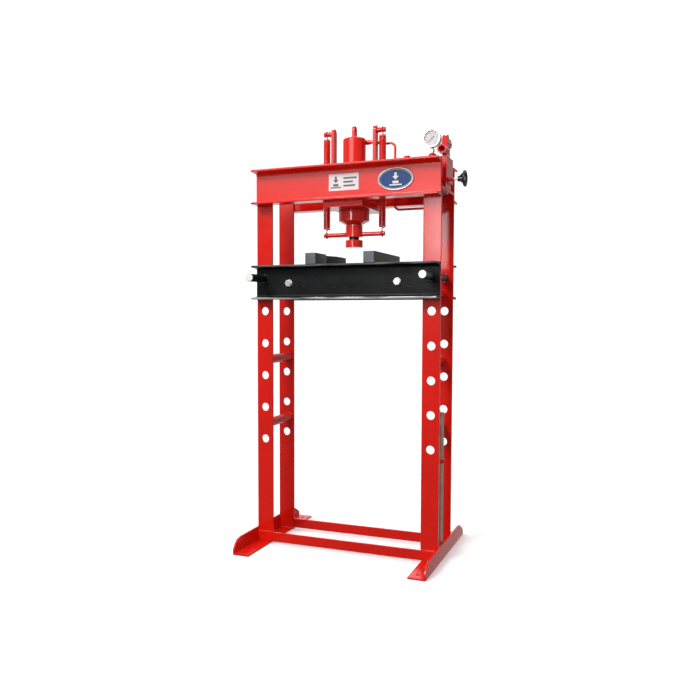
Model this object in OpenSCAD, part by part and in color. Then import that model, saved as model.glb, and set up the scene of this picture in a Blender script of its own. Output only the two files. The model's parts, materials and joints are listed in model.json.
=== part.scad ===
// Hydraulic shop press with a hand pump, a movable bed and two V press blocks.
// X runs to the right, Y to the rear, Z up. The origin is on the floor, midway between the four legs.

/* [Frame] */
// Distance between the centres of the left and right legs
leg_span = 712; // [700:1:760]
// Width of the flat bar of each leg
leg_w = 70; // [64:1:76]
// Thickness of the leg bar
leg_t = 10; // [8:1:12]
// Depth from the front of the front legs to the rear of the rear legs
frame_depth = 228; // [220:1:240]
// Height of the frame to the top of the upper beams
frame_h = 1564; // [1540:1:1600]
// Distance between neighbouring bed positions
hole_pitch = 135; // [130:1:135]
// Height of the pin that holds the bed, above the floor
pin_z = 1120; // [1100:1:1120]
// Diameter of the pin holes in the legs
hole_d = 34; // [34:0.5:36]
// Diameter of the round bars that tie front and rear legs
tie_d = 38; // [30:1:40]

/* [Feet] */
// Length of each foot from front to rear
foot_l = 660; // [600:10:720]
// Width of the flat flange of the foot angle
foot_w = 70; // [65:1:75]
// Height of the upright flange of the foot angle
foot_h = 62; // [55:1:70]
// Thickness of the foot angle
foot_t = 7; // [6:1:9]
// Height of the flat bars between the feet
bar_h = 40; // [35:1:50]
// Thickness of the flat bars between the feet
bar_t = 8; // [6:1:10]
// Diameter of the floor anchor holes
anchor_d = 14; // [12:1:16]

/* [Beams] */
// Length of the beams
beam_l = 780; // [776:1:800]
// Height of the rolled channel
beam_h = 140; // [140:1:145]
// Width of the channel flanges
flange_w = 60; // [55:1:60]
// Thickness of the channel web
web_t = 7; // [6:0.5:8]
// Mean thickness of the channel flanges
flange_t = 10; // [8:0.5:10]
// Height of the bed surface above the pin axis
bed_rise = 53; // [45:1:55]

/* [Ram] */
// Outer diameter of the cylinder barrel
barrel_d = 94; // [90:1:98]
// Height of the top of the barrel
barrel_top = 1692; // [1680:1:1700]
// Diameter of the cylinder bore
bore_d = 76; // [70:1:78]
// Diameter of the ram rod
rod_d = 50; // [44:1:52]
// Diameter of the ram head
head_d = 72; // [64:1:76]
// Thickness of the ram head
head_h = 30; // [26:1:32]
// Distance of each return spring from the ram axis
spring_x = 121; // [118:1:124]
// Outer diameter of the return springs
spring_d = 30; // [26:1:32]
// Diameter of the spring wire
wire_d = 4.5; // [4:0.5:5]

/* [Bed] */
// Diameter of the support pins
pin_d = 32; // [28:1:32]
// Length of the support pins
pin_l = 400; // [380:5:420]
// Diameter of the through bolts of the bed
bolt_d = 16; // [14:1:20]
// Width of each press block
block_w = 45; // [40:1:50]
// Height of each press block
block_h = 45; // [40:1:50]
// Length of each press block
block_l = 356; // [350:1:370]
// Depth of the V in each press block
vee_depth = 28; // [20:1:30]

/* [Pump] */
// Distance from the ram axis to the outer side of the pump block
pump_x = 398; // [396:1:402]
// Width of the pump block
pump_w = 92; // [88:1:94]
// Depth of the pump block from front to rear
pump_depth = 112; // [108:1:116]
// Height of the pump block
pump_h = 97; // [92:1:100]
// Diameter of the pump plunger
plunger_d = 16; // [14:1:18]
// Distance from the lever pivot to the plunger pin
crank = 42; // [40:1:44]
// Outer diameter of the lever socket
socket_d = 36; // [34:1:36]
// Diameter of the pump handle
handle_d = 20; // [18:0.5:20]
// Length of the pump handle
handle_l = 577; // [500:1:600]
// Diameter of the release handwheel
wheel_d = 63; // [58:1:66]
// Diameter of the pressure gauge
gauge_d = 68; // [63:1:70]
// Diameter of the pressure pipe
pipe_d = 10; // [8:1:10]

/* [Hidden] */
$fn = 64;

// Frame places
leg_x = leg_span / 2;
leg_out = frame_depth / 2;
leg_in = leg_out - leg_t;
foot_x = leg_x + leg_w / 2 + foot_t;
tie_x = leg_x - 11;
beam_z = frame_h - beam_h;
bed_top = pin_z + bed_rise;
bed_z = bed_top - beam_h;
web_out = leg_out + web_t;
tip_y = leg_out + flange_w;
holes_below = 5;
anchor_y = foot_l / 2 - 40;
anchor_x = foot_x - foot_t - 33;

// Ram places
plate_t = 25;
plate_x = 83;
plate_y = 140;
plate_z = beam_z - plate_t;
gland_d = 127;
gland_z = plate_z - 45;
gland_tip_z = gland_z - 14;
gland_tip_d = 71;
barrel_z = gland_z + 12;
barrel_lip = 14;
seal_d = rod_d + 12;
seal_z = gland_z - 2;
seal_h = 8;
piston_z = 1640;
piston_h = 28;
arm_z = 1301;
arm_d = 18;
collar_top = gland_tip_z - 2;
collar_z = collar_top - 48;
collar_d = 70;
arm_end = spring_x + 11;
stud_d = 41;
spigot_d = 28;
stud_z = collar_z - 13;
head_z = stud_z - head_h;
post_x = 90;
post_t = 12;
post_w = 36;
post_top = 1737;
hook_arm_z = 1718;
hook_arm_d = 21;
spring_top = 1698;
spring_low = 1325;
eye_w = 34;
eye_t = 12;
eye_top = barrel_top + 50;
eye_hole = 16;
port_y = 26;
port_z = 1678;

// Bed places
bolt_xs = [-241, 222];
bolt_z = bed_z + 67;
washer_d = 30;
washer_t = 3;
bolt_head = 10;
bolt_nut = 13;
bolt_hex = 1.73 * bolt_d;
pin_front = -255;
block_x = 100;
vee_w = 120;

// Pump places
shelf_t = 10;
shelf_z = 1452;
shelf_x = leg_x - leg_w / 2 - 11;
base_z = shelf_z + shelf_t;
pump_z = 1485;
pump_top = pump_z + pump_h;
pump_y = -63;
pump_left = pump_x - pump_w;
lever_x = pump_x - 16;
pivot_y = 32;
pivot_z = pump_top + 60;
pin_y = pivot_y - crank;
cheek_t = 5;
cheek_gap = 10;
socket_y = -80;
socket_l = 50;
socket_z = pivot_z - 36;
socket_bore = handle_d + 1.5;
pivot_d = 12;
link_d = 10;
running_gap = 0.6;
plunger_gap = 0.5;
valve_y = -45;
valve_z = 1493;
spindle_d = 8;
wheel_x = 460;
wheel_t = 10;
hub_x = 438;
gauge_x = 322;
gauge_y = 2;
gauge_z = 1667;
stem_y = 17;
adapter_h = 29;
zero_angle = 221;
tank_x = 176;
tank_w = 140;
tank_z = base_z + 4;
plug_x = 223;
handle_x = foot_x - foot_t - 12;
handle_y = -24;
ring_z = 381;
pipe_down_x = 166;
pipe_low_z = 1397;
pipe_up_x = 352;
pipe_bend = 20;

// Round bar along X, from the point at
module rod_x(at, d, l) {
    translate(at) rotate([0, 90, 0]) cylinder(d = d, h = l);
}

// Round bar along Y, from the point at
module rod_y(at, d, l) {
    translate(at) rotate([-90, 0, 0]) cylinder(d = d, h = l);
}

// Round bar along Z, from the point at
module rod_z(at, d, l) {
    translate(at) cylinder(d = d, h = l);
}

// Ring along Z with a round hole
module ring_z(at, d_out, d_in, h) {
    translate(at) difference() {
        cylinder(d = d_out, h = h);
        translate([0, 0, -1]) cylinder(d = d_in, h = h + 2);
    }
}

// Outline in Y and Z, drawn out along X
module along_x(x, l) {
    translate([x, 0, 0]) rotate([90, 0, 90]) linear_extrude(l) children();
}

// Outline in X and Z, drawn out along Y
module along_y(y, l) {
    translate([0, y + l, 0]) rotate([90, 0, 0]) linear_extrude(l) children();
}

// Two circles joined by their outer tangents
module link_2d(a, ra, b, rb) {
    d = norm(b - a);
    way = atan2(b[1] - a[1], b[0] - a[0]);
    side = acos((ra - rb) / d);
    translate(a) circle(r = ra);
    translate(b) circle(r = rb);
    polygon([
        a + ra * [cos(way + side), sin(way + side)],
        a + ra * [cos(way - side), sin(way - side)],
        b + rb * [cos(way - side), sin(way - side)],
        b + rb * [cos(way + side), sin(way + side)],
    ]);
}

// Quarter of a pipe bend that starts at the origin along +X and turns to -Z
module elbow(r) {
    translate([0, 0, -r]) rotate([90, 0, 0]) rotate_extrude(angle = 90)
        translate([r, 0]) circle(d = pipe_d, $fn = 32);
}

// Outline of a rolled channel: web on the left, flanges to the right, tapered and with filleted roots
module channel_2d() {
    slope = 0.08 * (flange_w - web_t) / 2;
    root = flange_t + slope;
    tip = flange_t - slope;
    fillet = 9;
    square([web_t, beam_h]);
    for (up = [0, 1]) {
        translate([0, up * beam_h]) mirror([0, up]) {
            polygon([[0, 0], [flange_w, 0], [flange_w, tip], [web_t, root], [0, root]]);
            difference() {
                translate([web_t, root - 1]) square([fillet, fillet]);
                translate([web_t + fillet, root + fillet - 1.4]) circle(r = fillet);
            }
        }
    }
}

// Channel beam with its web against the legs and its flanges pointing outward
module channel_beam(side, z) {
    mirror([0, side < 0 ? 1 : 0, 0]) translate([0, leg_out, z]) along_x(-beam_l / 2, beam_l) channel_2d();
}

module leg(sx, sy) {
    color("red") difference() {
        translate([sx * leg_x - leg_w / 2, sy > 0 ? leg_in : -leg_out, foot_t])
            cube([leg_w, leg_t, frame_h - foot_t]);
        for (n = [0 : holes_below])
            rod_y([sx * leg_x, sy > 0 ? leg_in - 1 : -leg_out - 1, pin_z - n * hole_pitch], hole_d, leg_t + 2);
    }
}

module leg_front_left() { leg(-1, -1); }
module leg_front_right() { leg(1, -1); }
module leg_rear_left() { leg(-1, 1); }
module leg_rear_right() { leg(1, 1); }

// Upright flange of a foot, sloped down at both ends
module foot_side_2d() {
    half = foot_l / 2;
    nose_h = 22;
    polygon([
        [-half, 0], [half, 0],
        [half, nose_h], [half - 30, foot_h - 22], [half - 62, foot_h - 6], [half - 95, foot_h],
        [60 - half, foot_h], [32 - half, foot_h - 6], [14 - half, foot_h - 20], [-half, nose_h]
    ]);
}

module foot(side) {
    mirror([side < 0 ? 1 : 0, 0, 0]) {
        along_x(foot_x - foot_t, foot_t) foot_side_2d();
        difference() {
            translate([foot_x - foot_w, -foot_l / 2, 0]) cube([foot_w - foot_t, foot_l, foot_t]);
            for (y = [-anchor_y, anchor_y])
                rod_z([anchor_x, y, -1], anchor_d, foot_t + 2);
        }
    }
}

module foot_left() { color("red") foot(-1); }
module foot_right() { color("red") foot(1); }

module base_bars() {
    bar_l = 2 * (foot_x - foot_t);
    color("red") for (y = [-leg_out - bar_t, leg_out])
        translate([-bar_l / 2, y, foot_t]) cube([bar_l, bar_t, bar_h]);
}

module tie_rods() {
    color("red") for (x = [-tie_x, tie_x], n = [0.5, 2.5, 4.5])
        rod_y([x, -leg_in, pin_z - n * hole_pitch], tie_d, 2 * leg_in);
}

module top_beam_front() { color("red") channel_beam(-1, beam_z); }
module top_beam_rear() { color("red") channel_beam(1, beam_z); }

module cylinder_plate() {
    color("red") difference() {
        translate([-plate_x, -plate_y, plate_z]) cube([2 * plate_x, 2 * plate_y, plate_t]);
        rod_z([0, 0, plate_z - 1], barrel_d, plate_t + 2);
    }
}

// Flat bar that stands on the cylinder plate and carries the upper end of one spring
module spring_post(side) {
    color("red") mirror([side < 0 ? 1 : 0, 0, 0]) difference() {
        union() {
            translate([post_x - post_t - 7, -post_w / 2, beam_z]) cube([post_t + 7, post_w, 12]);
            along_x(post_x - post_t / 2, post_t) {
                translate([-post_w / 2, beam_z]) square([post_w, post_top - post_w / 2 - beam_z]);
                translate([0, post_top - post_w / 2]) circle(d = post_w);
            }
            rod_x([post_x, 0, hook_arm_z], hook_arm_d - 4, arm_end - post_x);
            rod_x([arm_end - 4, 0, hook_arm_z], hook_arm_d, 4);
            rod_x([post_x, 0, hook_arm_z], hook_arm_d, 22);
        }
        rod_z([0, 0, beam_z - 1], gland_d - 2, 14);
    }
}

module spring_post_left() { spring_post(-1); }
module spring_post_right() { spring_post(1); }

module cylinder_barrel() {
    edge = 8;
    color("red") rotate_extrude() difference() {
        union() {
            square([barrel_d / 2, barrel_z + 1]);
            translate([0, barrel_z]) square([barrel_d / 2, barrel_top - barrel_z - edge]);
            translate([0, barrel_top - edge]) square([barrel_d / 2 - edge, edge]);
            translate([barrel_d / 2 - edge, barrel_top - edge]) circle(r = edge);
            translate([0, beam_z]) square([gland_d / 2 - 1, 12]);
        }
        square([barrel_d, barrel_z]);
        translate([0, barrel_z - 1]) square([bore_d / 2, barrel_top - barrel_lip - barrel_z + 1]);
        translate([-barrel_d, 0]) square([barrel_d, barrel_top + 1]);
    }
}

module cylinder_gland() {
    color("red") difference() {
        rotate_extrude() polygon([
            [0, gland_tip_z], [gland_tip_d / 2, gland_tip_z], [gland_d / 2, gland_z],
            [gland_d / 2, plate_z], [0, plate_z],
        ]);
        rod_z([0, 0, barrel_z], barrel_d, plate_z - barrel_z + 1);
        rod_z([0, 0, gland_tip_z - 1], rod_d + 1.2, 60);
        rod_z([0, 0, seal_z], seal_d, seal_h);
    }
}

module rod_seal() {
    color("black") ring_z([0, 0, seal_z], seal_d, rod_d + running_gap, seal_h);
}

module lifting_eye() {
    color("red") along_x(-eye_t / 2, eye_t) difference() {
        union() {
            translate([-eye_w / 2, barrel_top]) square([eye_w, eye_top - eye_w / 2 - barrel_top]);
            translate([0, eye_top - eye_w / 2]) circle(d = eye_w);
        }
        translate([0, eye_top - eye_w / 2]) circle(d = eye_hole);
    }
}

module port_fitting() {
    boss_x = 30;
    boss_end = 60;
    color("red") difference() {
        union() {
            rod_x([boss_x, port_y, port_z], 20, boss_end - boss_x);
            rod_x([boss_end, port_y, port_z], 15, 12);
        }
        rod_z([0, 0, port_z - 20], barrel_d, 50);
        rod_x([boss_x, port_y, port_z], pipe_d, boss_end + 20);
    }
}

// One tube from the cylinder port over, down between the beams, under them and up to the pump
module pressure_pipe() {
    start_x = 66;
    r = pipe_bend;
    drop = port_z - 11;
    color("red") {
        rod_x([start_x, port_y, port_z], pipe_d, 24);
        translate([90, port_y, port_z]) pipe_dip();
        rod_x([103, port_y, drop], pipe_d, pipe_down_x - r - 103);
        translate([pipe_down_x - r, port_y, drop]) elbow(r);
        rod_z([pipe_down_x, port_y, pipe_low_z + r], pipe_d, drop - pipe_low_z - 2 * r);
        translate([pipe_down_x + r, port_y, pipe_low_z]) mirror([1, 0, 0]) mirror([0, 0, 1]) elbow(r);
        rod_x([pipe_down_x + r, port_y, pipe_low_z], pipe_d, pipe_up_x - pipe_down_x - 2 * r);
        translate([pipe_up_x - r, port_y, pipe_low_z]) mirror([0, 0, 1]) elbow(r);
        rod_z([pipe_up_x, port_y, pipe_low_z + r], pipe_d, base_z - pipe_low_z - r);
    }
}

// Short sloping piece that lowers the pipe behind the spring
module pipe_dip() {
    fall = 11;
    run = 13;
    turn = atan2(fall, run);
    rotate([0, 90 + turn, 0]) cylinder(d = pipe_d, h = norm([fall, run]));
    sphere(d = pipe_d);
    translate([run, 0, -fall]) sphere(d = pipe_d);
}

module pipe_nuts() {
    color("silver") {
        difference() {
            rod_x([72, port_y, port_z], 19, 12, $fn = 6);
            rod_x([71, port_y, port_z], pipe_d, 14);
        }
        ring_z([pipe_up_x, port_y, shelf_z - 14], 19, pipe_d, 14);
    }
}

module oil_reservoir() {
    wall = 3;
    tank_l = pump_left - tank_x;
    tank_h = 94;
    color("darkred") difference() {
        translate([tank_x, -tank_w / 2, tank_z]) cube([tank_l, tank_w, tank_h]);
        translate([tank_x + wall, wall - tank_w / 2, tank_z + wall])
            cube([tank_l - 2 * wall, tank_w - 2 * wall, tank_h - 2 * wall]);
        rod_z([plug_x, 0, tank_z + tank_h - wall - 1], 16, wall + 2);
    }
}

module filler_plug() {
    tank_top = tank_z + 94;
    color("red") {
        rod_z([plug_x, 0, tank_top - 5], 16, 35);
        rod_z([plug_x, 0, tank_top + 30], 25, 14);
    }
}

module pump_shelf() {
    color("red") difference() {
        translate([shelf_x, -leg_out, shelf_z]) cube([leg_x + leg_w / 2 - shelf_x, 2 * leg_out, shelf_t]);
        for (sx = [-1, 1], y = [-leg_out, leg_in])
            translate([shelf_x + 11 - 1, y, shelf_z - 1]) cube([leg_w + 2, leg_t, shelf_t + 2]);
        rod_z([pipe_up_x, port_y, shelf_z - 1], pipe_d, shelf_t + 2);
        for (p = pump_bolt_places())
            rod_z([p[0], p[1], shelf_z - 1], 10, shelf_t + 2);
    }
}

function pump_bolt_places() = [for (x = [340, 380], y = [-42, 10]) [x, y]];

module pump_bolts() {
    color("silver") for (p = pump_bolt_places()) {
        rod_z([p[0], p[1], shelf_z - 7], 17, 7, $fn = 6);
        rod_z([p[0], p[1], shelf_z], 10, shelf_t + 12);
    }
}

module pump_body() {
    lug_t = cheek_gap - 2;
    lug_r = 13;
    color("red") difference() {
        union() {
            translate([pump_left, pump_y, pump_z]) cube([pump_w, pump_depth, pump_h]);
            translate([330, -54, base_z]) cube([62, 94, pump_z - base_z]);
            along_x(lever_x - lug_t / 2, lug_t) {
                translate([pivot_y - lug_r, pump_top]) square([2 * lug_r, pivot_z - pump_top]);
                translate([pivot_y, pivot_z]) circle(r = lug_r);
            }
        }
        rod_x([lever_x - lug_t, pivot_y, pivot_z], pivot_d + running_gap, 2 * lug_t);
        rod_z([lever_x, pin_y, pump_z + 20], plunger_d + running_gap, pump_h);
        rod_x([pump_x - 30, valve_y, valve_z], spindle_d + running_gap, 31);
        for (p = pump_bolt_places())
            rod_z([p[0], p[1], base_z - 1], 10, 13);
        for (y = [-16, 14])
            rod_z([356, y, base_z + 15], 10, 24);
    }
}

module check_valve_balls() {
    color("silver") for (y = [-16, 14])
        translate([356, y, base_z + 20]) sphere(d = 9);
}

module plunger_gland() {
    color("silver") ring_z([lever_x, pin_y, pump_top], 28, plunger_d + running_gap, 9);
}

module valve_boss() {
    color("red") difference() {
        union() {
            rod_x([pump_x, valve_y, valve_z], 20, 8);
            rod_x([pump_x + 8, valve_y, valve_z], 15, 18);
        }
        rod_x([pump_x - 1, valve_y, valve_z], spindle_d + running_gap, 30);
    }
}

module release_spindle() {
    color("silver") rod_x([pump_x - 28, valve_y, valve_z], spindle_d, hub_x + 20 - pump_x + 28);
}

// Dished wheel: a hub, four sloping spokes and a thick rim
module release_handwheel() {
    rim_w = 9;
    spoke_r = 9;
    reach = wheel_d / 2 - rim_w / 2;
    slant = wheel_x + wheel_t / 2 - hub_x - 8;
    color("dimgray") translate([hub_x, valve_y, valve_z]) rotate([0, 90, 0]) difference() {
        union() {
            cylinder(d = 22, h = 18);
            translate([0, 0, 18]) cylinder(d = 16, h = 4);
            translate([0, 0, wheel_x - hub_x]) rotate_extrude() translate([reach, wheel_t / 2])
                circle(d = wheel_t, $fn = 32);
            for (a = [45 : 90 : 315])
                rotate([0, 0, a]) translate([spoke_r, 0, 8])
                    rotate([0, atan2(reach - spoke_r, slant), 0])
                        cylinder(d = 7, h = norm([reach - spoke_r, slant]));
        }
        translate([0, 0, -1]) cylinder(d = spindle_d, h = 21);
    }
}

module gauge_adapter() {
    dome = 8;
    color("red") translate([gauge_x, stem_y, pump_top]) rotate_extrude() difference() {
        union() {
            square([15, adapter_h - dome]);
            square([15 - dome, adapter_h]);
            translate([15 - dome, adapter_h - dome]) circle(r = dome);
        }
        translate([-15, 0]) square([15, adapter_h]);
    }
}

module gauge_case() {
    depth = 30;
    color("silver") {
        difference() {
            rod_y([gauge_x, gauge_y, gauge_z], gauge_d, depth);
            rod_y([gauge_x, gauge_y - 1, gauge_z], gauge_d - 4, depth - 1);
        }
        difference() {
            union() {
                rod_z([gauge_x, stem_y, pump_top + adapter_h], 12, 26);
                rod_z([gauge_x, stem_y, pump_top + adapter_h + 6], 18, 8, $fn = 6);
            }
            rod_y([gauge_x, gauge_y - 1, gauge_z], gauge_d - 1, depth + 2);
        }
    }
}

module gauge_bezel() {
    color("silver") difference() {
        rod_y([gauge_x, gauge_y - 5, gauge_z], gauge_d + 3, 5);
        rod_y([gauge_x, gauge_y - 6, gauge_z], gauge_d - 8, 7);
    }
}

module gauge_dial() {
    color("white") rod_y([gauge_x, gauge_y + 3, gauge_z], gauge_d - 4, 1);
}

module gauge_glass() {
    color("lightblue") rod_y([gauge_x, gauge_y - 3, gauge_z], gauge_d - 8, 2);
}

module gauge_needle() {
    color("black") translate([gauge_x, gauge_y + 0.5, gauge_z]) {
        rotate([0, -zero_angle, 0]) along_y(0, 1.2) {
            polygon([[-12, -2], [-12, 2], [0, 1.6], [25, 0.5], [25, -0.5], [0, -1.6]]);
            circle(d = 7);
        }
        rod_y([0, 1, 0], 3, 1.2);
    }
}

module rating_plate() {
    plate_w = 126;
    plate_h = 66;
    color("white") translate([-2 - plate_w / 2, -web_out - 1, beam_z + 74 - plate_h / 2])
        cube([plate_w, 1, plate_h]);
}

module oval_badge() {
    half_w = 73;
    half_h = 45;
    color("navy") along_y(-web_out - 1.2, 1.2) translate([212, beam_z + 72])
        polygon([for (a = [0 : 6 : 354]) [half_w * cos(a), half_h * sin(a)]]);
}

// Ring on a short bar behind the front leg, which holds the pump handle upright
module handle_ring() {
    color("red") difference() {
        union() {
            rod_z([handle_x, handle_y, ring_z], handle_d + 9, 14);
            translate([handle_x - 4, -leg_in, ring_z + 3]) cube([8, leg_in + handle_y, 8]);
        }
        rod_z([handle_x, handle_y, ring_z - 1], handle_d + 1, 16);
    }
}

module pump_handle() {
    color("tan") rod_z([handle_x, handle_y, foot_t], handle_d, handle_l);
}

// Bed channel with its pin holes, the weld collars around them and the bolt holes
module bed_beam(side) {
    collar_t = 4;
    color("black") difference() {
        union() {
            channel_beam(side, bed_z);
            for (x = [-leg_x, leg_x])
                rod_y([x, side > 0 ? web_out - 1 : -web_out - collar_t, pin_z], 50, collar_t + 1);
        }
        for (x = [-leg_x, leg_x])
            rod_y([x, side > 0 ? leg_out - 1 : -web_out - collar_t - 1, pin_z], hole_d, web_t + collar_t + 2);
        for (x = bolt_xs)
            rod_y([x, side > 0 ? leg_out - 1 : -web_out - 1, bolt_z], bolt_d, web_t + 2);
    }
}

module bed_beam_front() { bed_beam(-1); }
module bed_beam_rear() { bed_beam(1); }

module bed_spacers() {
    color("black") for (x = bolt_xs) difference() {
        rod_y([x, -leg_out, bolt_z], 34, 2 * leg_out);
        rod_y([x, -leg_out - 1, bolt_z], bolt_d, 2 * leg_out + 2);
    }
}

module bed_bolts() {
    color("silver") for (x = bolt_xs) {
        rod_y([x, -web_out - washer_t - bolt_head, bolt_z], bolt_hex, bolt_head, $fn = 6);
        rod_y([x, -web_out - washer_t, bolt_z], bolt_d, 2 * web_out + 2 * washer_t + bolt_nut + 5);
    }
}

module bed_washers() {
    color("silver") for (x = bolt_xs, y = [-web_out - washer_t, web_out]) difference() {
        rod_y([x, y, bolt_z], washer_d, washer_t);
        rod_y([x, y - 1, bolt_z], bolt_d, washer_t + 2);
    }
}

module bed_nuts() {
    color("silver") for (x = bolt_xs) difference() {
        rod_y([x, web_out + washer_t, bolt_z], bolt_hex, bolt_nut, $fn = 6);
        rod_y([x, web_out + washer_t - 1, bolt_z], bolt_d, bolt_nut + 2);
    }
}

// Support pin with chamfered ends
module support_pin(x) {
    edge = 2;
    color("slategray") translate([x, pin_front, pin_z]) rotate([-90, 0, 0]) rotate_extrude() polygon([
        [0, 0], [pin_d / 2 - edge, 0], [pin_d / 2, edge], [pin_d / 2, pin_l - edge],
        [pin_d / 2 - edge, pin_l], [0, pin_l],
    ]);
}

module support_pin_left() { support_pin(-leg_x); }
module support_pin_right() { support_pin(leg_x); }

// Press block whose inner side has an upright V
module press_block(side) {
    half = block_l / 2;
    color("dimgray") mirror([side < 0 ? 1 : 0, 0, 0]) translate([0, 0, bed_top])
        linear_extrude(block_h) polygon([
            [block_x, -half], [block_x + block_w, -half], [block_x + block_w, half], [block_x, half],
            [block_x, vee_w / 2], [block_x + vee_depth, 0], [block_x, -vee_w / 2],
        ]);
}

module press_block_left() { press_block(-1); }
module press_block_right() { press_block(1); }

module piston() {
    color("silver") difference() {
        rod_z([0, 0, piston_z], bore_d - 1, piston_h);
        ring_z([0, 0, piston_z + 10], bore_d + 2, bore_d - 10, 8);
    }
}

module piston_seal() {
    color("black") ring_z([0, 0, piston_z + 10], bore_d - running_gap, bore_d - 10, 8);
}

// Ram rod with the stud and spigot that carry the head
module ram_rod() {
    color("silver") {
        rod_z([0, 0, collar_z], rod_d, piston_z - collar_z);
        rod_z([0, 0, stud_z], stud_d, head_gap());
        rod_z([0, 0, head_z + 12], spigot_d, stud_z - head_z - 12);
    }
}

function head_gap() = collar_z - stud_z;

module ram_head() {
    edge = 1.5;
    color("red") difference() {
        translate([0, 0, head_z]) rotate_extrude() polygon([
            [0, 0], [head_d / 2 - edge, 0], [head_d / 2, edge], [head_d / 2, head_h - edge],
            [head_d / 2 - edge, head_h], [0, head_h],
        ]);
        rod_z([0, 0, head_z + 12], spigot_d, head_h);
    }
}

// Collar on the rod with an arm on each side for the springs
module spring_crossbar() {
    color("red") difference() {
        union() {
            rod_z([0, 0, collar_z], collar_d, collar_top - collar_z);
            rod_x([-arm_end, 0, arm_z], arm_d, 2 * arm_end);
        }
        rod_z([0, 0, collar_z - 1], rod_d, collar_top - collar_z + 2);
    }
}

// Extension spring: the coil as one tube, with a round hook at each end
module return_spring(x) {
    color("red") {
        ring_z([x, 0, spring_low], spring_d, spring_d - 2 * wire_d, spring_top - spring_low);
        hook(x, hook_arm_z, hook_arm_d / 2 + wire_d / 2 - 1);
        hook(x, arm_z, arm_d / 2 + wire_d / 2 + 0.4);
        for (z = [spring_low, spring_top])
            rod_x([x + wire_d - spring_d / 2, 0, z + (z > spring_low ? -1 : 1) * wire_d / 2], wire_d, spring_d - 2 * wire_d);
        rod_z([x, 0, spring_top - 4], wire_d, hook_arm_z - hook_arm_d / 2 - spring_top + 3);
        rod_z([x, 0, arm_z + arm_d / 2 + 1], wire_d, spring_low - arm_z - arm_d / 2);
    }
}

module hook(x, z, r) {
    translate([x, 0, z]) rotate([0, 90, 0]) rotate_extrude() translate([r, 0]) circle(d = wire_d, $fn = 20);
}

module return_spring_left() { return_spring(-spring_x); }
module return_spring_right() { return_spring(spring_x); }

// Side plate of the pump lever, with the two pin holes
module lever_cheek_2d() {
    difference() {
        union() {
            link_2d([-34, socket_z + 4], 15, [-14, pivot_z + 13], 16);
            link_2d([pin_y, pivot_z], 15, [pivot_y, pivot_z], 17);
        }
        translate([pivot_y, pivot_z]) circle(d = pivot_d);
        translate([pin_y, pivot_z]) circle(d = link_d);
    }
}

module pump_lever() {
    wide = cheek_gap + 2 * cheek_t;
    color("red") difference() {
        union() {
            for (x = [lever_x - wide / 2, lever_x + cheek_gap / 2])
                along_x(x, cheek_t) lever_cheek_2d();
            along_x(lever_x - cheek_gap / 2, cheek_gap) intersection() {
                lever_cheek_2d();
                translate([-60, socket_z - 30]) square([34, 130]);
            }
            rod_y([lever_x, socket_y, socket_z], socket_d, socket_l);
        }
        rod_y([lever_x, socket_y - 1, socket_z], socket_bore, socket_l + 2);
        translate([lever_x, socket_y, socket_z]) rotate([-90, 0, 0])
            cylinder(d1 = socket_bore + 4, d2 = socket_bore, h = 2);
    }
}

module lever_pins() {
    color("silver") {
        rod_x([lever_x - 14, pivot_y, pivot_z], pivot_d, 28);
        rod_x([lever_x - 13, pin_y, pivot_z], link_d, 26);
    }
}

// Plunger with a flat tongue that ends in a slotted eye for the link pin
module pump_plunger() {
    eye_r = 13;
    slot = link_d / 2 + plunger_gap;
    neck = 32;
    color("silver") difference() {
        union() {
            rod_z([lever_x, pin_y, pump_z + 30], plunger_d, pivot_z - neck - pump_z - 30);
            along_x(lever_x - cheek_gap / 2 + 1, cheek_gap - 2) {
                translate([pin_y + 2, pivot_z]) circle(r = eye_r);
                translate([pin_y - 7, pivot_z - neck - 4]) square([14, neck]);
            }
        }
        along_x(lever_x - cheek_gap, 2 * cheek_gap)
            link_2d([pin_y, pivot_z], slot, [pin_y + 4, pivot_z], slot);
    }
}

leg_front_left();
leg_front_right();
leg_rear_left();
leg_rear_right();
foot_left();
foot_right();
base_bars();
tie_rods();
top_beam_front();
top_beam_rear();
cylinder_plate();
spring_post_left();
spring_post_right();
cylinder_barrel();
cylinder_gland();
rod_seal();
lifting_eye();
port_fitting();
pressure_pipe();
pipe_nuts();
oil_reservoir();
filler_plug();
pump_shelf();
pump_body();
pump_bolts();
plunger_gland();
check_valve_balls();
valve_boss();
gauge_adapter();
gauge_case();
gauge_bezel();
gauge_dial();
gauge_glass();
gauge_needle();
rating_plate();
oval_badge();
handle_ring();
bed_beam_front();
bed_beam_rear();
bed_spacers();
bed_bolts();
bed_washers();
bed_nuts();
support_pin_left();
support_pin_right();
press_block_left();
press_block_right();
piston();
piston_seal();
ram_rod();
ram_head();
spring_crossbar();
return_spring_left();
return_spring_right();
pump_lever();
lever_pins();
pump_plunger();
release_spindle();
release_handwheel();
pump_handle();
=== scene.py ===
"""Looks of a hydraulic shop press: red frame, black bed, hand pump with gauge, two return springs."""
import json
import math
import random

import bmesh
import bpy
from mathutils import Matrix, Vector


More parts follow.
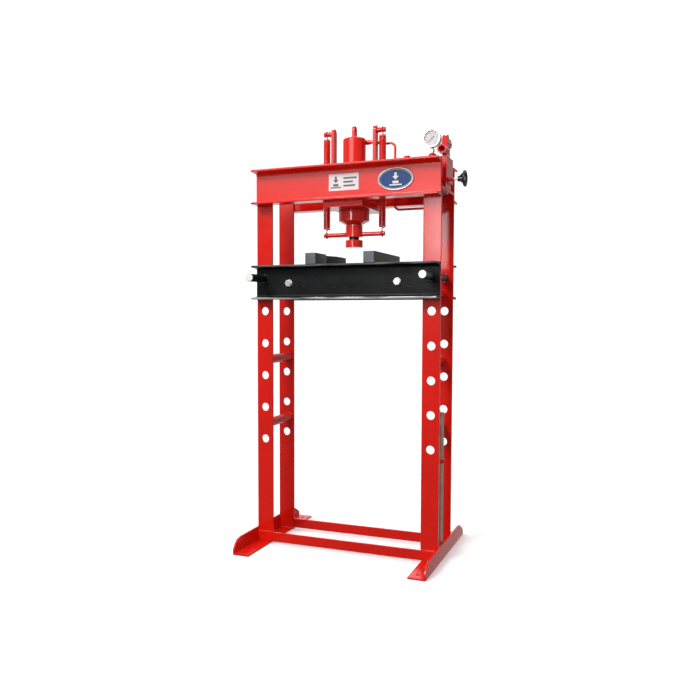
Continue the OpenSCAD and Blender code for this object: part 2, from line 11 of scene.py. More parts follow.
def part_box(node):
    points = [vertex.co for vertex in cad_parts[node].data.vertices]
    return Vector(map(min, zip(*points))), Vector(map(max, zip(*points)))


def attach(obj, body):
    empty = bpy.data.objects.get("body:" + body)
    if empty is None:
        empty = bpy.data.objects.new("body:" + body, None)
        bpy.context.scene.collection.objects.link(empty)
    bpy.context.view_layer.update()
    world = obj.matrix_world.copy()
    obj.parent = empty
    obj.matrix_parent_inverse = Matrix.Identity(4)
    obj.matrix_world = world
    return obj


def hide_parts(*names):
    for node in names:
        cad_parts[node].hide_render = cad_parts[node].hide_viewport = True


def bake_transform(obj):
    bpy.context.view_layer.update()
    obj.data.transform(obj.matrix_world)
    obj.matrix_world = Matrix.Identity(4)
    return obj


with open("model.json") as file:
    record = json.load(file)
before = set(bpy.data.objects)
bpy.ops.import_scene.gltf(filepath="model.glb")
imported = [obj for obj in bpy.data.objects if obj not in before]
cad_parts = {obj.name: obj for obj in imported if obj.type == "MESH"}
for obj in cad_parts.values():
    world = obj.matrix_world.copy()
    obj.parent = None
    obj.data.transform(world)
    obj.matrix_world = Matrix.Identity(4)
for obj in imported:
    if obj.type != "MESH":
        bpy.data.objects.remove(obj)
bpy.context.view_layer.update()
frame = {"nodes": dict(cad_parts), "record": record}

NODES = frame["nodes"]
RANDOM = random.Random(11)
MM = 0.001


# ---------------------------------------------------------------- shader helpers

class Shader:
    """A material with a Principled shader, and short calls that add nodes to it."""

    def __init__(self, name, color, roughness, metallic=0.0):
        self.material = bpy.data.materials.new(name)
        self.material.use_nodes = True
        self.tree = self.material.node_tree
        self.surface = self.tree.nodes["Principled BSDF"]
        self.surface.inputs["Base Color"].default_value = (*color, 1)
        self.surface.inputs["Roughness"].default_value = roughness
        self.surface.inputs["Metallic"].default_value = metallic
        self.place = self.add("ShaderNodeTexCoord").outputs["Object"]

    def add(self, kind, inputs=None, **settings):
        node = self.tree.nodes.new(kind)
        for key, value in settings.items():
            setattr(node, key, value)
        for key, value in (inputs or {}).items():
            self.put(node.inputs[key], value)
        return node

    def put(self, socket, value):
        if isinstance(value, bpy.types.NodeSocket):
            self.tree.links.new(value, socket)
        else:
            socket.default_value = value

    def set(self, name, value):
        self.put(self.surface.inputs[name], value)

    def noise(self, scale, detail=3.0, stretch=(1, 1, 1), rough=0.5):
        place = self.add("ShaderNodeMapping", {"Vector": self.place, "Scale": stretch}).outputs[0]
        values = {"Vector": place, "Scale": scale, "Detail": detail, "Roughness": rough}
        return self.add("ShaderNodeTexNoise", values).outputs["Fac"]

    def ramp(self, value, low, high, to_low=0.0, to_high=1.0):
        values = {"Value": value, "From Min": low, "From Max": high, "To Min": to_low, "To Max": to_high}
        return self.add("ShaderNodeMapRange", values).outputs["Result"]

    def math(self, operation, a, b=0.0):
        return self.add("ShaderNodeMath", {0: a, 1: b}, operation=operation).outputs[0]

    def mix(self, amount, a, b):
        return self.add("ShaderNodeMix", {0: amount, 6: a, 7: b}, data_type="RGBA").outputs[2]

    def blend(self, amount, a, b):
        return self.add("ShaderNodeMix", {0: amount, 2: a, 3: b}).outputs[0]

    def edges(self, radius):
        """Near 1 on outer edges, 0 on flat faces."""
        rounded = self.add("ShaderNodeBevel", {"Radius": radius}, samples=4).outputs[0]
        normal = self.add("ShaderNodeNewGeometry").outputs["Normal"]
        turn = self.add("ShaderNodeVectorMath", {0: rounded, 1: normal}, operation="DOT_PRODUCT")
        return self.ramp(turn.outputs["Value"], 0.995, 0.86)

    def axis(self, name, of="Object"):
        source = self.place if of == "Object" else self.add("ShaderNodeTexCoord").outputs[of]
        return self.add("ShaderNodeSeparateXYZ", {0: source}).outputs[name]

    def bump(self, height, distance, strength=1.0, under=None):
        values = {"Height": height, "Distance": distance, "Strength": strength}
        if under is not None:
            values["Normal"] = under
        return self.add("ShaderNodeBump", values).outputs[0]


def color4(r, g, b):
    return (r, g, b, 1.0)


def enamel(name, tint, shade, peel=0.00006, wear=0.5, coat=(0.28, 0.12)):
    """Thick glossy paint: uneven tint, orange peel, small chips and dirt along the edges."""
    paint = Shader(name, tint, 0.3)
    clouds = paint.ramp(paint.noise(5.0, 4.0), 0.3, 0.7)
    mottled = paint.mix(clouds, color4(*tint), color4(*shade))
    edges = paint.edges(1.6 * MM)
    broken = paint.ramp(paint.noise(160.0, 4.0), 0.56, 0.64)
    chips = paint.math("MULTIPLY", paint.math("MULTIPLY", edges, broken), wear)
    specks = paint.math("MULTIPLY", paint.ramp(paint.noise(95.0, 2.0), 0.76, 0.79), 0.4 * wear)
    worn = paint.math("MAXIMUM", chips, specks)
    paint.set("Base Color", paint.mix(worn, mottled, color4(0.10, 0.055, 0.05)))
    smears = paint.ramp(paint.noise(14.0, 5.0), 0.3, 0.75, 0.20, 0.34)
    paint.set("Roughness", paint.blend(worn, smears, 0.62))
    ripple = paint.bump(paint.noise(230.0, 2.0), peel, 0.5)
    paint.set("Normal", paint.bump(worn, -0.00005, 0.6, ripple))
    paint.set("Specular IOR Level", 0.15)
    paint.set("Coat Weight", coat[0])
    paint.set("Coat Roughness", coat[1])
    return paint.material


def bed_paint():
    """Dull black paint, rubbed through to steel on the flange lips and scratched on top; the extra steel on
    the lower lips is a painted highlight.
    """
    paint = Shader("bed_paint", (0.012, 0.012, 0.014), 0.4)
    clouds = paint.ramp(paint.noise(7.0, 6.0), 0.35, 0.7)
    black = paint.mix(clouds, color4(0.0035, 0.0035, 0.004), color4(0.008, 0.009, 0.010))
    dust = paint.math("MULTIPLY", paint.ramp(paint.noise(60.0, 6.0), 0.55, 0.75), 0.12)
    dusty = paint.mix(dust, black, color4(0.04, 0.042, 0.046))
    # Rubbed steel on the flange lips; the lower lips get it in full as a painted highlight, the upper lips
    # only 0.22 of it.
    lip = paint.ramp(paint.math("ABSOLUTE", paint.axis("Y")), 0.1731, 0.1738)
    low = paint.math("LESS_THAN", paint.axis("Z"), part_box("bed_beam_front")[0].z + 20 * MM)
    lip = paint.math("MULTIPLY", lip, paint.blend(low, 0.22, 1.0))
    streaks = paint.ramp(paint.noise(30.0, 5.0, (0.25, 1, 3)), 0.36, 0.56)
    top = paint.math("GREATER_THAN", paint.axis("Z", "Normal"), 0.9)
    scratched = paint.math("MULTIPLY", top, paint.ramp(paint.noise(45.0, 6.0, (4, 0.5, 1)), 0.55, 0.66))
    edge_rub = paint.math("MULTIPLY", paint.edges(1.5 * MM), paint.ramp(paint.noise(70.0, 4.0), 0.45, 0.6))
    bare_and_highlight = paint.math("MAXIMUM", paint.math("MULTIPLY", lip, streaks), paint.math("MULTIPLY", edge_rub, 0.7))
    bare_and_highlight = paint.math("MAXIMUM", bare_and_highlight, paint.math("MULTIPLY", scratched, 0.6))
    paint.set("Base Color", paint.mix(bare_and_highlight, dusty, color4(0.46, 0.46, 0.46)))
    paint.set("Metallic", paint.math("MULTIPLY", bare_and_highlight, 0.8))
    smears = paint.ramp(paint.noise(22.0, 5.0), 0.3, 0.7, 0.30, 0.50)
    paint.set("Roughness", paint.blend(bare_and_highlight, smears, 0.36))
    grain = paint.bump(paint.noise(420.0, 3.0), 0.00005, 0.5)
    paint.set("Normal", paint.bump(bare_and_highlight, -0.00004, 0.6, grain))
    paint.set("Specular IOR Level", 0.12)
    paint.set("Coat Weight", 0.04)
    paint.set("Coat Roughness", 0.2)
    return paint.material


def bare_metal(name, tint, dark, rough, stretch=(1, 1, 1), scale=60.0, depth=0.00002, metallic=1.0):
    """Steel with drawn or turned lines along one direction, stains and rubbed edges."""
    steel = Shader(name, tint, rough, metallic)
    lines = steel.noise(scale, 5.0, stretch, 0.6)
    stains = steel.ramp(steel.noise(18.0, 5.0), 0.42, 0.7)
    base = steel.mix(steel.ramp(lines, 0.3, 0.7), color4(*dark), color4(*tint))
    stained = steel.mix(steel.math("MULTIPLY", stains, 0.35), base, color4(*(0.6 * c for c in dark)))
    rubbed = steel.math("MULTIPLY", steel.edges(1.2 * MM), steel.ramp(steel.noise(80.0, 3.0), 0.35, 0.6))
    lighter = color4(*(min(1.0, 1.5 * c + 0.08) for c in tint))
    steel.set("Base Color", steel.mix(steel.math("MULTIPLY", rubbed, 0.6), stained, lighter))
    steel.set("Roughness", steel.ramp(lines, 0.2, 0.8, rough - 0.08, rough + 0.12))
    steel.set("Normal", steel.bump(lines, depth, 0.6))
    return steel.material


def pin_steel():
    """Dark turned bar with bright faced ends."""
    steel = Shader("pin_steel", (0.10, 0.105, 0.115), 0.35, 0.9)
    lines = steel.noise(900.0, 2.0, (0.3, 1, 0.3))
    end = steel.math("GREATER_THAN", steel.math("ABSOLUTE", steel.axis("Y", "Normal")), 0.8)
    dark, light = color4(0.05, 0.055, 0.065), color4(0.16, 0.17, 0.19)
    side = steel.mix(steel.ramp(steel.noise(30.0, 5.0), 0.35, 0.7), dark, light)
    steel.set("Base Color", steel.mix(end, side, color4(0.82, 0.81, 0.78)))
    steel.set("Roughness", steel.blend(end, steel.ramp(lines, 0.2, 0.8, 0.28, 0.45), 0.42))
    steel.set("Normal", steel.bump(lines, 0.00002, 0.5))
    return steel.material


def rod_steel():
    """Hard chrome with faint lines; the short stud under the collar is coloured near black."""
    steel = Shader("rod_steel", (0.78, 0.78, 0.80), 0.12, 1.0)
    lines = steel.noise(500.0, 2.0, (0.2, 0.2, 1))
    stud = steel.math("LESS_THAN", steel.axis("Z"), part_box("spring_crossbar")[0].z + 0.0001)
    clean, dulled = color4(0.80, 0.80, 0.82), color4(0.62, 0.62, 0.64)
    bright = steel.mix(steel.ramp(steel.noise(25.0), 0.4, 0.7), clean, dulled)
    steel.set("Base Color", steel.mix(stud, bright, color4(0.035, 0.03, 0.03)))
    steel.set("Roughness", steel.blend(stud, steel.ramp(lines, 0.2, 0.8, 0.08, 0.18), 0.4))
    steel.set("Normal", steel.bump(lines, 0.00001, 0.4))
    return steel.material


def plastic(name, tint, shade, rough, grain=300.0, gloss=0.5):
    """Moulded plastic: fine grain, faint colour change, lighter rubbed edges."""
    skin = Shader(name, tint, rough)
    base = skin.mix(skin.ramp(skin.noise(20.0, 4.0), 0.35, 0.7), color4(*tint), color4(*shade))
    rubbed = skin.math("MULTIPLY", skin.edges(1.0 * MM), 0.25)
    skin.set("Base Color", skin.mix(rubbed, base, color4(*(min(1.0, c + 0.12) for c in tint))))
    skin.set("Roughness", skin.ramp(skin.noise(60.0, 4.0), 0.3, 0.7, rough - 0.05, rough + 0.08))
    skin.set("Normal", skin.bump(skin.noise(grain, 3.0), 0.00003, 0.4))
    skin.set("Specular IOR Level", gloss)
    return skin.material


def clear_glass():
    glass = Shader("clear_glass", (0.93, 0.96, 0.97), 0.03)
    glass.set("Roughness", glass.ramp(glass.noise(40.0, 4.0), 0.4, 0.7, 0.02, 0.07))
    glass.set("Alpha", 0.16)
    glass.set("Coat Weight", 0.3)
    return glass.material


def make_materials():
    red, deep = (0.70, 0.011, 0.0045), (0.61, 0.008, 0.0035)
    return {
        "frame_paint": enamel("frame_paint", red, deep),
        "beam_paint": enamel("beam_paint", red, deep, peel=0.00008, wear=0.4),
        "cylinder_paint": enamel("cylinder_paint", (0.76, 0.014, 0.006), (0.68, 0.010, 0.005),
                                 peel=0.00003, coat=(0.7, 0.04)),
        "pump_paint": enamel("pump_paint", (0.64, 0.011, 0.006), (0.50, 0.008, 0.005),
                             peel=0.00016, wear=0.7),
        "bed_paint": bed_paint(),
        "zinc": bare_metal("zinc", (0.74, 0.72, 0.68), (0.58, 0.57, 0.55), 0.33, scale=120.0),
        "handle_zinc": bare_metal("handle_zinc", (0.66, 0.60, 0.50), (0.50, 0.45, 0.37), 0.38,
                                  (1, 1, 0.1), 300.0),
        "pin_steel": pin_steel(),
        "block_steel": bare_metal("block_steel", (0.12, 0.125, 0.14), (0.07, 0.075, 0.085), 0.5,
                                  (0.4, 0.4, 4), 90.0, 0.00005, 0.75),
        "rod_chrome": rod_steel(),
        "seal_rubber": plastic("seal_rubber", (0.02, 0.02, 0.02), (0.03, 0.03, 0.03), 0.6),
        "gauge_steel": bare_metal("gauge_steel", (0.56, 0.56, 0.56), (0.44, 0.44, 0.45), 0.3, scale=200.0),
        "dial_white": plastic("dial_white", (0.66, 0.66, 0.65), (0.60, 0.60, 0.60), 0.5, gloss=0.2),
        "gauge_glass": clear_glass(),
        "needle_black": plastic("needle_black", (0.02, 0.02, 0.022), (0.03, 0.03, 0.03), 0.35),
        "plate_white": plastic("plate_white", (0.74, 0.72, 0.72), (0.68, 0.67, 0.68), 0.4, gloss=0.2),
        "badge_blue": plastic("badge_blue", (0.008, 0.055, 0.20), (0.006, 0.045, 0.16), 0.3, gloss=0.15),
        "wheel_black": plastic("wheel_black", (0.010, 0.010, 0.012), (0.018, 0.018, 0.02), 0.28),
        "mark_dark": plastic("mark_dark", (0.03, 0.035, 0.045), (0.05, 0.05, 0.06), 0.35),
    }


MATERIALS = make_materials()


# ---------------------------------------------------------------- CAD nodes

BEVELS = {"bed_bolts": 1.2, "bed_nuts": 1.2, "pump_body": 2.5, "pump_lever": 1.8, "release_handwheel": 0.8,
          "press_block_left": 1.5, "press_block_right": 1.5, "gauge_needle": 0.1, "gauge_dial": 0.1,
          "gauge_bezel": 0.7, "gauge_glass": 0.2, "rating_plate": 0.2, "oval_badge": 0.3, "rod_seal": 0.3,
          "piston_seal": 0.3, "check_valve_balls": 0.0, "pump_plunger": 0.5, "release_spindle": 0.5}


def soften(node, width):
    """Small rounded edges, and smooth shading that keeps the flat faces flat."""
    node.data.polygons.foreach_set("use_smooth", [True] * len(node.data.polygons))
    weld = node.modifiers.new("weld", "WELD")
    weld.merge_threshold = 0.00002
    if width > 0:
        bevel = node.modifiers.new("bevel", "BEVEL")
        bevel.width = width * MM
        bevel.segments = 2
        bevel.limit_method = "ANGLE"
        bevel.angle_limit = math.radians(38)
    shading = node.modifiers.new("shading", "WEIGHTED_NORMAL")
    shading.keep_sharp = False


def finish_cad_nodes():
    slots = {part["node"]: part["material_slot"] for part in frame["record"]["subparts"]}
    for name, node in NODES.items():
        key = "handle_zinc" if name == "pump_handle" else slots[name]
        node.data.materials.clear()
        node.data.materials.append(MATERIALS[key])
        soften(node, BEVELS.get(name, 1.0))


# ---------------------------------------------------------------- mesh helpers

def piece(name, bm, material, body, smooth=True):
    """A finished mesh as an object that rides on a CAD body."""
    mesh = bpy.data.meshes.new(name)
    bmesh.ops.recalc_face_normals(bm, faces=bm.faces)
    bm.to_mesh(mesh)
    bm.free()
    mesh.materials.append(MATERIALS[material])
    mesh.polygons.foreach_set("use_smooth", [smooth] * len(mesh.polygons))
    obj = bpy.data.objects.new(name, mesh)
    bpy.context.scene.collection.objects.link(obj)
    if body:
        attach(obj, body)
    return obj


def sweep(bm, points, radius, sides=8, closed=False):
    """Adds a tube along points. radius is a number, or a function of the point's index."""
    count = len(points)
    ahead = [(points[(i + 1) % count] - points[i - 1]).normalized() for i in range(count)]
    if not closed:
        ahead[0] = (points[1] - points[0]).normalized()
        ahead[-1] = (points[-1] - points[-2]).normalized()
    side = ahead[0].orthogonal().normalized()
    rings = []
    for i, point in enumerate(points):
        side = (side - ahead[i] * side.dot(ahead[i])).normalized()
        up = ahead[i].cross(side)
        r = radius(i) if callable(radius) else radius
        turns = [2 * math.pi * k / sides for k in range(sides)]
        rings.append([bm.verts.new(point + r * (math.cos(a) * side + math.sin(a) * up)) for a in turns])
    for i in range(count if closed else count - 1):
        skin(bm, rings[i], rings[(i + 1) % count])
    if not closed:
        bm.faces.new(rings[0])
        bm.faces.new(rings[-1])


def skin(bm, one, two):
    """Faces between two rings, matched at their nearest points."""
    shift = min(range(len(two)), key=lambda k: (two[k].co - one[0].co).length)
    for k in range(len(one)):
        n = (k + 1) % len(one)
        bm.faces.new((one[k], one[n], two[(n + shift) % len(two)], two[(k + shift) % len(two)]))


def circle(centre, axis, radius, count):
    """Points on a circle about an axis."""
    axis = Vector(axis).normalized()
    side = axis.orthogonal().normalized()
    up = axis.cross(side)
    turns = [2 * math.pi * k / count for k in range(count)]
    return [Vector(centre) + radius * (math.cos(a) * side + math.sin(a) * up) for a in turns]


def line(a, b, step=2.5 * MM):
    """Evenly spaced points from a to b."""
    a, b = Vector(a), Vector(b)
    count = max(3, round((b - a).length / step))
    return [a.lerp(b, i / count) for i in range(count + 1)]


# ---------------------------------------------------------------- welds

def bead(bm, points, radius=2.6 * MM, closed=False):
    """A weld bead: a tube whose thickness swells once for every ripple."""
    jitter = [RANDOM.uniform(0.9, 1.1) for _ in points]
    sweep(bm, points, lambda i: radius * jitter[i] * (1 + 0.16 * math.sin(i * 2.1)), 8, closed)


def ring_bead(bm, centre, axis, radius, size=2.6 * MM):
    count = max(16, round(2 * math.pi * radius / (2.5 * MM)))
    bead(bm, circle(centre, axis, radius, count), size, True)


def tie_rod_welds():
    low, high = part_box("tie_rods")
    radius = 0.5 * (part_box("tie_rods")[1].z - low.z - 2 * TIE_STEP)
    x = high.x - radius
    bm = bmesh.new()
    for side in (-x, x):
        for level in range(3):
            z = low.z + radius + level * TIE_STEP
            for y, inward in ((low.y, 1), (high.y, -1)):
                ring_bead(bm, (side, y + inward * 0.8 * MM, z), (0, 1, 0), radius + 0.8 * MM, 3.2 * MM)
    piece("tie_rod_welds", bm, "frame_paint", "root")


def leg_welds():
    """Beads where the legs meet the upper beams, the feet and the base bars."""
    bm = bmesh.new()
    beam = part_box("top_beam_front")[0].z
    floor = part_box("leg_front_left")[0].z
    bar_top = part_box("base_bars")[1].z
    for name in ("leg_front_left", "leg_front_right", "leg_rear_left", "leg_rear_right"):
        low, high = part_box(name)
        outer = low.y if low.y < 0 else high.y
        inner = high.y if low.y < 0 else low.y
        bead(bm, line((low.x + 2 * MM, outer, beam), (high.x - 2 * MM, outer, beam)))
        bead(bm, line((low.x + 2 * MM, inner, floor), (high.x - 2 * MM, inner, floor)), 3.2 * MM)
        bead(bm, line((low.x + 2 * MM, outer, bar_top), (high.x - 2 * MM, outer, bar_top)))
        edge = low.x if low.x < 0 else high.x
        bead(bm, line((edge, inner, floor), (edge, inner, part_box("foot_left")[1].z - 6 * MM)))
    piece("leg_welds", bm, "frame_paint", "root")


def plate_welds():
    """Beads round the cylinder plate, the posts and the lifting eye."""
    bm = bmesh.new()
    low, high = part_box("cylinder_plate")
    for y in (low.y, high.y):
        bead(bm, line((low.x, y, high.z), (high.x, y, high.z)), 3.0 * MM)
    for name, side in (("spring_post_left", -1), ("spring_post_right", 1)):
        post_low, post_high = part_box(name)
        ring_bead(bm, (side * POST_OUT, 0, ARM_TOP_Z), (1, 0, 0), 11.3 * MM, 2.0 * MM)
        for y in (post_low.y, post_high.y):
            bead(bm, line((side * POST_IN, y, high.z + 1 * MM), (side * POST_OUT, y, high.z + 1 * MM)))
    eye_low, eye_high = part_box("lifting_eye")
    for x in (eye_low.x, eye_high.x):
        bead(bm, line((x, eye_low.y, eye_low.z + 0.5 * MM), (x, eye_high.y, eye_low.z + 0.5 * MM)), 2.2 * MM)
    for y in (eye_low.y, eye_high.y):
        bead(bm, line((eye_low.x, y, eye_low.z + 0.5 * MM), (eye_high.x, y, eye_low.z + 0.5 * MM)), 2.2 * MM)
    piece("plate_welds", bm, "cylinder_paint", "root")


def collar_welds():
    """Beads where the spring arms meet the collar on the rod, and round the bed's pin collars."""
    bm = bmesh.new()
    for side in (-1, 1):
        ring_bead(bm, (side * COLLAR_R, 0, ARM_LOW_Z), (1, 0, 0), 9.6 * MM, 2.0 * MM)
    piece("arm_welds", bm, "cylinder_paint", "ram")
    bm = bmesh.new()
    for x in (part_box("support_pin_left"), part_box("support_pin_right")):
        middle = 0.5 * (x[0] + x[1])
        for y in (-BED_WEB, BED_WEB):
            ring_bead(bm, (middle.x, y, middle.z), (0, 1, 0), 25.8 * MM, 2.4 * MM)
    piece("bed_collar_welds", bm, "bed_paint", "root")


def pump_welds():
    """Beads along the pump shelf and behind the ring that holds the handle."""
    bm = bmesh.new()
    low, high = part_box("pump_shelf")
    for y in (low.y, high.y):
        bead(bm, line((low.x, y, low.z), (low.x + 9 * MM, y, low.z)), 2.4 * MM)
    ring_low, ring_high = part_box("handle_ring")
    middle = 0.5 * (ring_low.x + ring_high.x)
    for x in (middle - 4 * MM, middle + 4 * MM):
        bead(bm, line((x, ring_low.y, ring_low.z + 3 * MM), (x, ring_low.y, ring_low.z + 11 * MM)), 1.6 * MM)
    piece("shelf_welds", bm, "pump_paint", "root")


# Places that several pieces share
TIE_STEP = 0.270
POST_IN = 0.084
POST_OUT = 0.096
ARM_TOP_Z = 1.718
ARM_LOW_Z = 1.301
COLLAR_R = 0.035
BED_WEB = 0.121
SPRING_WIRE = 2.25 * MM
DIAL_ZERO = 221
DIAL_SWEEP = 270
NUMBER_R = 18 * MM

# Brightness of the studio
ROOM = 0.30
CEILING = 1.15


# ---------------------------------------------------------------- return springs

def spring_path(x, coil_low, coil_high):
    """The wire from the lower hook through the close coil to the upper hook."""
    radius = 15 * MM - SPRING_WIRE
    turns = round((coil_high - coil_low) / (5.0 * MM))
    per_turn = 20
    low_r, high_r = 11.65 * MM, 11.75 * MM
    low = [Vector((x, low_r * math.sin(a), ARM_LOW_Z + low_r * math.cos(a)))
           for a in (math.radians(-330 + 15 * k) for k in range(22))]
    high = [Vector((x, high_r * math.sin(a), ARM_TOP_Z - high_r * math.cos(a)))
            for a in (math.radians(15 * k) for k in range(1, 23))]
    coil = []
    for k in range(turns * per_turn + 1):
        angle = 2 * math.pi * k / per_turn
        height = coil_low + (coil_high - coil_low) * k / (turns * per_turn)
        coil.append(Vector((x + radius * math.cos(angle), radius * math.sin(angle), height)))
    rise = [Vector((x, 0, coil_low - 5 * MM)), Vector((x + 0.6 * radius, 0, coil_low - 1.5 * MM))]
    leave = [Vector((x + 0.6 * radius, 0, coil_high + 1.5 * MM)), Vector((x, 0, coil_high + 5 * MM))]
    return low + rise + coil + leave + high


def return_springs():
    for side in ("left", "right"):
        node = "return_spring_" + side
        low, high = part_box(node)
        x = 0.5 * (low.x + high.x)
        bm = bmesh.new()
        sweep(bm, spring_path(x, 1.3275, 1.6955), SPRING_WIRE, 8)
        spring = piece("coil_" + side, bm, "cylinder_paint", None)
        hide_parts(node)
        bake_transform(spring)


# ---------------------------------------------------------------- gauge face and plates

def flat_shape(bm, outline, y, thickness):
    """A thin plate that faces the front, from an outline in X and Z."""
    front = [bm.verts.new((x, y - thickness, z)) for x, z in outline]
    back = [bm.verts.new((x, y, z)) for x, z in outline]
    bm.faces.new(front)
    bm.faces.new(back)
    for k in range(len(outline)):
        n = (k + 1) % len(outline)
        bm.faces.new((front[k], front[n], back[n], back[k]))


def dial_scale():
    """Ticks and numbers on the dial."""
    low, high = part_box("gauge_dial")
    centre = 0.5 * (low + high)
    face = low.y
    bm = bmesh.new()
    for k in range(51):
        angle = math.radians(DIAL_ZERO - DIAL_SWEEP * k / 50)
        long = k % 10 == 0
        outer, inner = 27.5 * MM, (22.5 if long else 25.0) * MM
        half = (0.5 if long else 0.22) * MM
        out = Vector((math.cos(angle), math.sin(angle)))
        side = Vector((-out.y, out.x)) * half
        ends = [out * inner - side, out * outer - side, out * outer + side, out * inner + side]
        flat_shape(bm, [(centre.x + p.x, centre.z + p.y) for p in ends], face, 0.1 * MM)
    piece("dial_ticks", bm, "mark_dark", "root", False)
    for k in range(6):
        angle = math.radians(DIAL_ZERO - DIAL_SWEEP * k / 5)
        across, up = NUMBER_R * math.cos(angle), NUMBER_R * math.sin(angle)
        place = Vector((centre.x + across, face - 0.1 * MM, centre.z + up))
        dial_number(str(10 * k), place)


def dial_number(text, place):
    curve = bpy.data.curves.new("digits", "FONT")
    curve.body = text
    curve.size = 6.5 * MM
    curve.align_x = "CENTER"
    curve.align_y = "CENTER"
    holder = bpy.data.objects.new("digits", curve)
    bpy.context.scene.collection.objects.link(holder)
    bpy.context.view_layer.update()
    mesh = bpy.data.meshes.new_from_object(holder)
    bpy.data.objects.remove(holder)
    mesh.transform(Matrix.Translation(place) @ Matrix.Rotation(math.pi / 2, 4, "X"))
    mesh.materials.clear()
    mesh.materials.append(MATERIALS["mark_dark"])
    number = bpy.data.objects.new("dial_number_" + text, mesh)
    bpy.context.scene.collection.objects.link(number)
    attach(number, "root")


def press_sign(bm, x, z, size, y):
    """A plain sign: an arrow that points down at a block on a line."""
    def shape(points):
        flat_shape(bm, [(x + size * a, z + size * b) for a, b in points], y, 0.25 * MM)
    shape([(-0.09, 0.5), (0.09, 0.5), (0.09, 0.22), (-0.09, 0.22)])
    shape([(-0.26, 0.22), (0.26, 0.22), (0, -0.06)])
    shape([(-0.24, -0.34), (0.24, -0.34), (0.24, -0.14), (-0.24, -0.14)])
    shape([(-0.5, -0.5), (0.5, -0.5), (0.5, -0.40), (-0.5, -0.40)])


def rating_plate_print():
    """Signs and plain bars in place of words."""
    low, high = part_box("rating_plate")
    middle = 0.5 * (low + high)
    bm = bmesh.new()
    press_sign(bm, low.x + 30 * MM, middle.z, 46 * MM, low.y)
    for row, length in enumerate((56, 40, 50)):
        z = middle.z + (15 - 15 * row) * MM
        start = low.x + 62 * MM
        flat_shape(bm, [(start, z - 3.5 * MM), (start + length * MM, z - 3.5 * MM),
                        (start + length * MM, z + 3.5 * MM), (start, z + 3.5 * MM)], low.y, 0.25 * MM)
    piece("rating_plate_print", bm, "mark_dark", "root", False)


def ellipse(centre, half_x, half_z, y, count=72):
    turns = [2 * math.pi * k / count for k in range(count)]
    return [Vector((centre.x + half_x * math.cos(a), y, centre.z + half_z * math.sin(a))) for a in turns]


def badge_details():
    """Silver rim, thin inner line and a plain sign on the oval badge."""
    low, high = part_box("oval_badge")
    middle = 0.5 * (low + high)
    half_x, half_z = 0.5 * (high.x - low.x), 0.5 * (high.z - low.z)
    bm = bmesh.new()
    sweep(bm, ellipse(middle, half_x - 3.5 * MM, half_z - 3.5 * MM, low.y), 3.2 * MM, 10, True)
    piece("badge_rim", bm, "gauge_steel", "root")
    bm = bmesh.new()
    sweep(bm, ellipse(middle, half_x - 9 * MM, half_z - 9 * MM, low.y), 0.9 * MM, 6, True)
    press_sign(bm, middle.x, middle.z, 50 * MM, low.y)
    piece("badge_print", bm, "plate_white", "root", False)


# ---------------------------------------------------------------- stage

def soft_light(name, place, target, size, power, tint=(1, 1, 1)):
    lamp = bpy.data.lights.new(name, "AREA")
    lamp.shape = "RECTANGLE"
    lamp.size, lamp.size_y = size
    lamp.energy = power
    lamp.color = tint
    light = bpy.data.objects.new(name, lamp)
    light.location = place
    light.rotation_euler = (Vector(target) - Vector(place)).to_track_quat("-Z", "Y").to_euler()
    bpy.context.scene.collection.objects.link(light)
    return light


def make_floor():
    bm = bmesh.new()
    bmesh.ops.create_grid(bm, x_segments=1, y_segments=1, size=30)
    mesh = bpy.data.meshes.new("floor")
    bm.to_mesh(mesh)
    bm.free()
    floor = bpy.data.objects.new("floor", mesh)
    bpy.context.scene.collection.objects.link(floor)
    pale = Shader("floor_white", (0.87, 0.87, 0.87), 0.8)
    low, high = color4(0.86, 0.86, 0.86), color4(0.88, 0.88, 0.88)
    pale.set("Base Color", pale.mix(pale.noise(3.0), low, high))
    pale.surface.inputs["Specular IOR Level"].default_value = 0.1
    mesh.materials.append(pale.material)
    floor.visible_diffuse = False
    floor.visible_glossy = False


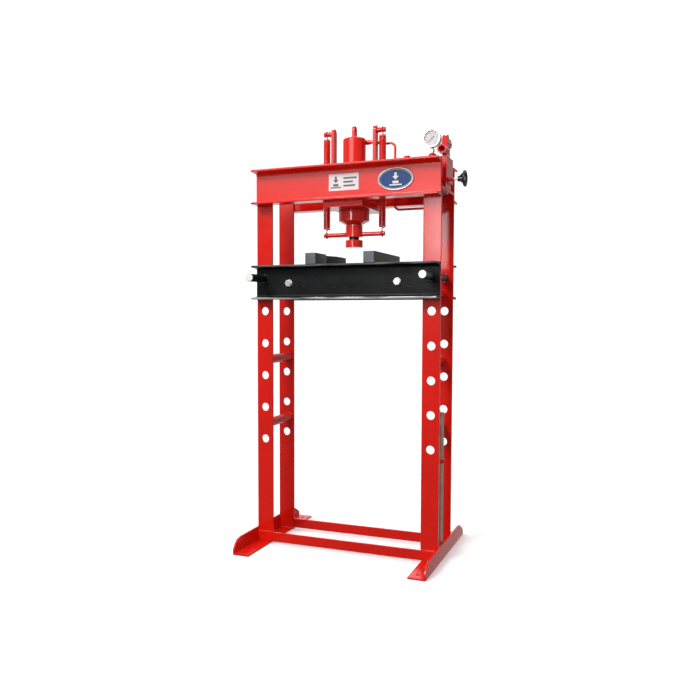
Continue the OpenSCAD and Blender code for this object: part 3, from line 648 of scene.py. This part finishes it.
def make_sky():
    """White backdrop behind the press, a grey room round it and a soft bright ceiling."""
    world = bpy.data.worlds.new("studio")
    world.use_nodes = True
    nodes, links = world.node_tree.nodes, world.node_tree.links
    place = nodes.new("ShaderNodeTexCoord")
    split = nodes.new("ShaderNodeSeparateXYZ")
    links.new(place.outputs["Generated"], split.inputs[0])

    def fade(axis, start, end, low, high):
        node = nodes.new("ShaderNodeMapRange")
        node.interpolation_type = "SMOOTHSTEP"
        for name, value in (("From Min", start), ("From Max", end), ("To Min", low), ("To Max", high)):
            node.inputs[name].default_value = value
        links.new(split.outputs[axis], node.inputs["Value"])
        return node.outputs["Result"]

    def combine(operation, a, b):
        node = nodes.new("ShaderNodeMath")
        node.operation = operation
        links.new(a, node.inputs[0])
        links.new(b, node.inputs[1])
        return node.outputs[0]

    backdrop = combine("MULTIPLY", fade("Y", -0.1, 0.5, 0, 0.86), fade("X", 0.22, 0.08, 0, 1))
    room = combine("ADD", backdrop, fade("Z", 0.4, 0.8, ROOM, ROOM + CEILING))
    links.new(room, nodes["Background"].inputs["Color"])
    bpy.context.scene.world = world


def make_lights():
    soft_light("key", (-0.20, -2.7, 1.56), (-0.20, 0, 1.50), (0.38, 0.50), 11)
    soft_light("main", (-1.0, -3.2, 3.3), (0, 0, 1.1), (1.2, 1.0), 104)
    sheen = soft_light("sheen", (-0.70, -2.7, 2.15), (-0.50, 0, 1.90), (2.2, 0.65), 17)
    sheen.visible_diffuse = False
    bpy.context.scene.view_settings.view_transform = "Standard"


def make_camera():
    """Stands a little right of the press and looks slightly down at it."""
    data = bpy.data.cameras.new("camera")
    data.sensor_width = 36
    data.lens = 39.78
    data.shift_x = 0.0635
    data.shift_y = 0.0120
    camera = bpy.data.objects.new("camera", data)
    camera.location = (1.081, -3.046, 0.979)
    camera.rotation_euler = (math.radians(90 - 3.39), 0, math.radians(23.107))
    bpy.context.scene.collection.objects.link(camera)
    bpy.context.scene.camera = camera


make_camera()
finish_cad_nodes()
tie_rod_welds()
leg_welds()
plate_welds()
collar_welds()
pump_welds()
return_springs()
dial_scale()
rating_plate_print()
badge_details()
make_floor()
make_sky()
make_lights()
